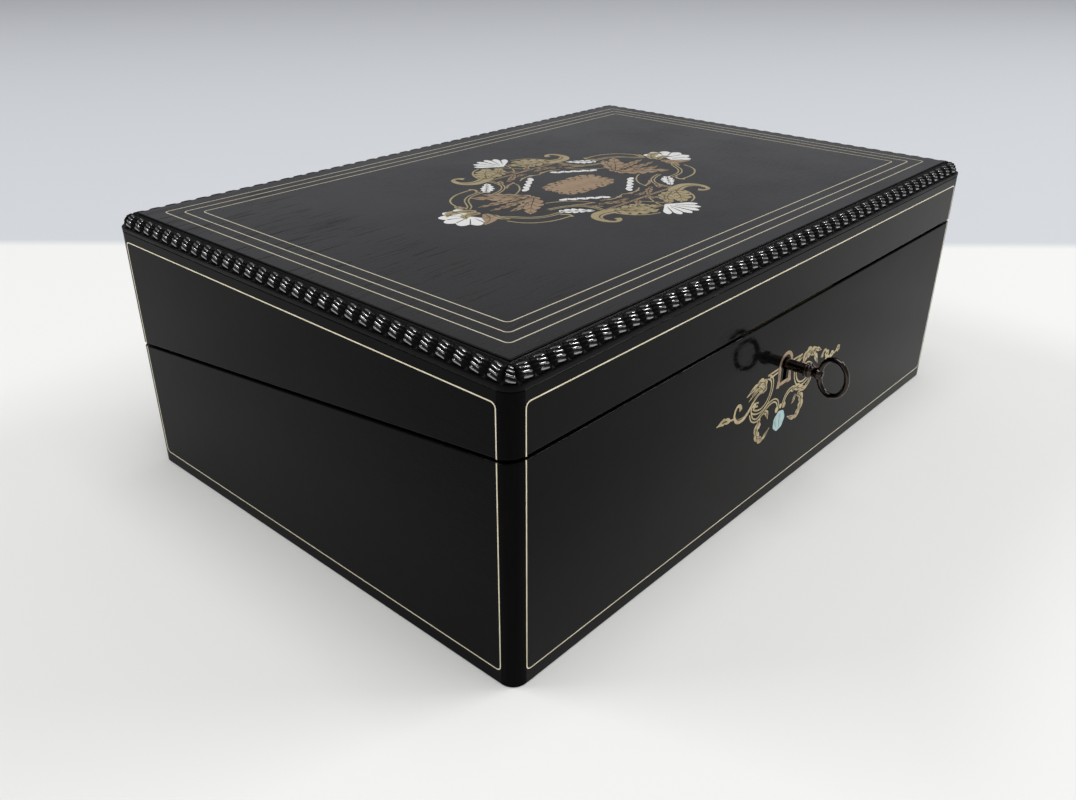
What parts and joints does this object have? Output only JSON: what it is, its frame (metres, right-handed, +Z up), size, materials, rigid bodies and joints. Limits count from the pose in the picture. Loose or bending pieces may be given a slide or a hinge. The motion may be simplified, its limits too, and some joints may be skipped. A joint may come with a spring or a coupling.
{
  "type": "jewelry box",
  "caption": "Black polished wooden jewelry box with a slanted lid joint, carved moulding, metal and pearl inlay, lock with key, padded lid and lift-out tray.",
  "frame": {"origin": "middle of the flat underside of the case, leaving the key and hinge barrels out of account", "axes": "+X along the lock front to the right as seen from the front, +Y from the lock front to the hinges, +Z up"},
  "size_m": [0.3, 0.2344, 0.107],
  "materials": {
    "ebonised_wood": "black french polish over fine grained wood, high gloss",
    "interior_wood": "satin french polish, dark red wood",
    "line_brass": "aged brass, flush and polished over",
    "hardware_brass": "brushed and lightly tarnished brass",
    "rose_copper": "rose copper alloy, engraved, satin",
    "pearl": "mother of pearl, polished, faint iridescence",
    "abalone": "blue green shell, polished, iridescent",
    "dark_steel": "darkened polished steel",
    "velvet": "short pile velvet",
    "satin": "silk satin, buttoned and padded",
    "gilt_braid": "twisted gilt braid",
    "baize": "green wool baize"
  },
  "bodies": {
    "case": {"base_front": "ebonised_wood", "base_back": "ebonised_wood", "base_left": "ebonised_wood", "base_right": "ebonised_wood", "base_corner_strips": "ebonised_wood", "base_stringing": "line_brass", "base_bottom": "interior_wood", "bottom_baize": "baize", "base_lining": "velvet", "base_floor_pad": "velvet", "tray_ledges": "interior_wood", "escutcheon_brass": "line_brass", "keyhole_frame": "rose_copper", "escutcheon_pearl": "abalone", "hinge_base_leaves": "hardware_brass", "hinge_pins": "dark_steel", "hinge_base_screws": "hardware_brass", "lock_case": "hardware_brass", "lock_cover": "hardware_brass", "lock_drill_pin": "dark_steel", "lock_spring": "dark_steel", "lock_screws": "dark_steel"},
    "lid": {"lid_front": "ebonised_wood", "lid_back": "ebonised_wood", "lid_left": "ebonised_wood", "lid_right": "ebonised_wood", "lid_corner_strips": "ebonised_wood", "lid_side_stringing": "line_brass", "lid_top_board": "interior_wood", "lid_top_veneer": "ebonised_wood", "lid_top_stringing": "line_brass", "moulding_front": "ebonised_wood", "moulding_back": "ebonised_wood", "moulding_left": "ebonised_wood", "moulding_right": "ebonised_wood", "inlay_brass": "line_brass", "inlay_copper": "rose_copper", "inlay_pearl": "pearl", "lid_lining": "velvet", "lid_pad": "satin", "lid_pad_braid": "gilt_braid", "lid_pad_buttons": "satin", "hinge_lid_leaves": "hardware_brass", "hinge_lid_screws": "hardware_brass", "striker_plate": "hardware_brass", "striker_screws": "hardware_brass"},
    "tray": {"tray_frame": "interior_wood", "tray_bottom": "interior_wood", "tray_dividers": "interior_wood", "tray_pads": "velvet", "ring_rolls": "velvet", "tray_knobs": "hardware_brass"},
    "lock_barrel": {"lock_barrel": "hardware_brass"},
    "key": {"key": "dark_steel"},
    "bolt": {"lock_bolt": "hardware_brass"}
  },
  "joints": [
    {"name": "lid_hinge", "type": "hinge", "parent": "case", "child": "lid", "pos_m": [0, 0.1035, 0.0535], "axis": [-1, 0, 0], "range_deg": [0, 180]},
    {"name": "tray_lift", "type": "slide", "parent": "case", "child": "tray", "axis": [0, 0, 1], "range_m": [0, 0.032]},
    {"name": "key_turn", "type": "hinge", "parent": "case", "child": "lock_barrel", "pos_m": [0, -0.0985, 0.0575], "axis": [0, 1, 0], "range_deg": [0, 360]},
    {"name": "key_pull", "type": "slide", "parent": "lock_barrel", "child": "key", "axis": [0, -1, 0], "range_m": [0, 0.03]},
    {"name": "bolt_slide", "type": "slide", "parent": "case", "child": "bolt", "axis": [1, 0, 0], "range_m": [0, 0.006]}
  ],
  "couplings": [
    {"joint": "key_turn", "follows": "bolt_slide", "rad_per_m": 1047.2}
  ]
}
